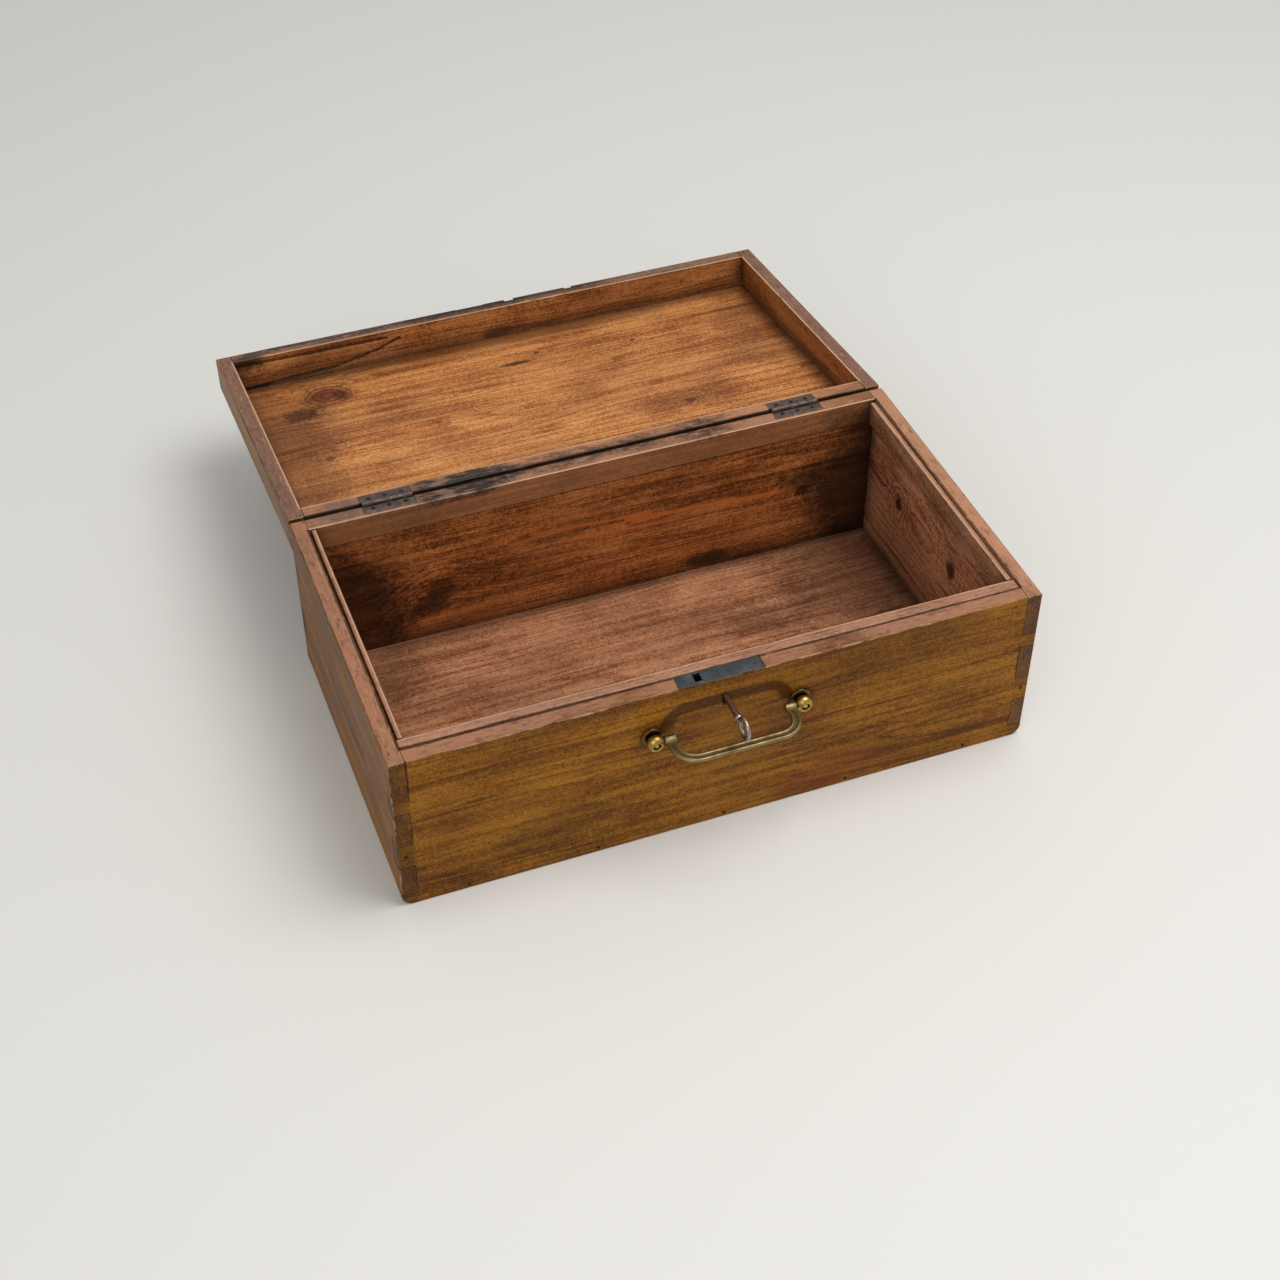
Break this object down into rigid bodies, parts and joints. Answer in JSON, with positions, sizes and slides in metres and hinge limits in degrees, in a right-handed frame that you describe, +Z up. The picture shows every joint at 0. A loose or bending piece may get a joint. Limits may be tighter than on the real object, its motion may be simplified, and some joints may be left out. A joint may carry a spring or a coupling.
{
  "type": "wooden box",
  "caption": "Old oiled wooden box with dovetailed corners, a lid hinged at the back, a bail handle on the front and a lock with its key.",
  "frame": {"origin": "centre of the underside, on the surface that the box stands on", "axes": "+X along the length to the right, +Y to the back where the lid is hinged, +Z up"},
  "size_m": [0.5, 0.5975, 0.1471],
  "materials": {
    "box_wood": "old oiled pine, worn and stained",
    "strip_wood": "old oiled pine, worn on the top edge",
    "lid_wood": "old oiled pine, a little lighter inside",
    "nail_iron": "rusted dark",
    "hinge_iron": "dark, rubbed on the knuckles",
    "lock_steel": "dull grey with tarnish",
    "screw_steel": "tarnished",
    "key_steel": "worn bright",
    "handle_brass": "tarnished, bright where rubbed"
  },
  "bodies": {
    "box": {"front_board": "box_wood", "back_board": "box_wood", "left_side": "box_wood", "right_side": "box_wood", "bottom_board": "box_wood", "front_rim_strip": "strip_wood", "left_rim_strip": "strip_wood", "right_rim_strip": "strip_wood", "corner_nails": "nail_iron", "bottom_nails": "nail_iron", "strip_pins": "nail_iron", "left_hinge_box_leaf": "hinge_iron", "left_hinge_pin": "hinge_iron", "left_handle_post": "handle_brass", "right_hinge_box_leaf": "hinge_iron", "right_hinge_pin": "hinge_iron", "right_handle_post": "handle_brass", "box_hinge_screws": "screw_steel", "lock_screws": "screw_steel", "lock_plate": "lock_steel", "lock_case": "lock_steel", "lock_cover": "lock_steel", "lock_spring": "lock_steel", "handle_washers": "screw_steel", "handle_nuts": "screw_steel"},
    "lid": {"lid_front_rail": "lid_wood", "lid_back_rail": "lid_wood", "lid_left_rail": "lid_wood", "lid_right_rail": "lid_wood", "lid_panel": "lid_wood", "lid_panel_nails": "nail_iron", "left_hinge_lid_leaf": "hinge_iron", "right_hinge_lid_leaf": "hinge_iron", "lid_hinge_screws": "screw_steel"},
    "bail": {"handle_bail": "handle_brass"},
    "key": {"key": "key_steel"},
    "bolt": {"lock_bolt": "lock_steel"}
  },
  "joints": [
    {"name": "lid_hinge", "type": "hinge", "parent": "box", "child": "lid", "pos_m": [0, 0.1397, 0.14515], "axis": [1, 0, 0], "range_deg": [0, 186.49]},
    {"name": "bail_swing", "type": "hinge", "parent": "box", "child": "bail", "pos_m": [-0.001, -0.14485, 0.1057], "axis": [-1, 0, 0], "range_deg": [-90, 10]},
    {"name": "key_turn", "type": "hinge", "parent": "box", "child": "key", "pos_m": [-0.003, -0.1375, 0.128], "axis": [0, -1, 0], "range_deg": [0, 360]},
    {"name": "bolt_slide", "type": "slide", "parent": "box", "child": "bolt", "axis": [-1, 0, 0], "range_m": [0, 0.0071]}
  ],
  "couplings": [
    {"joint": "bolt_slide", "follows": "key_turn", "m_per_rad": 0.0011141}
  ]
}
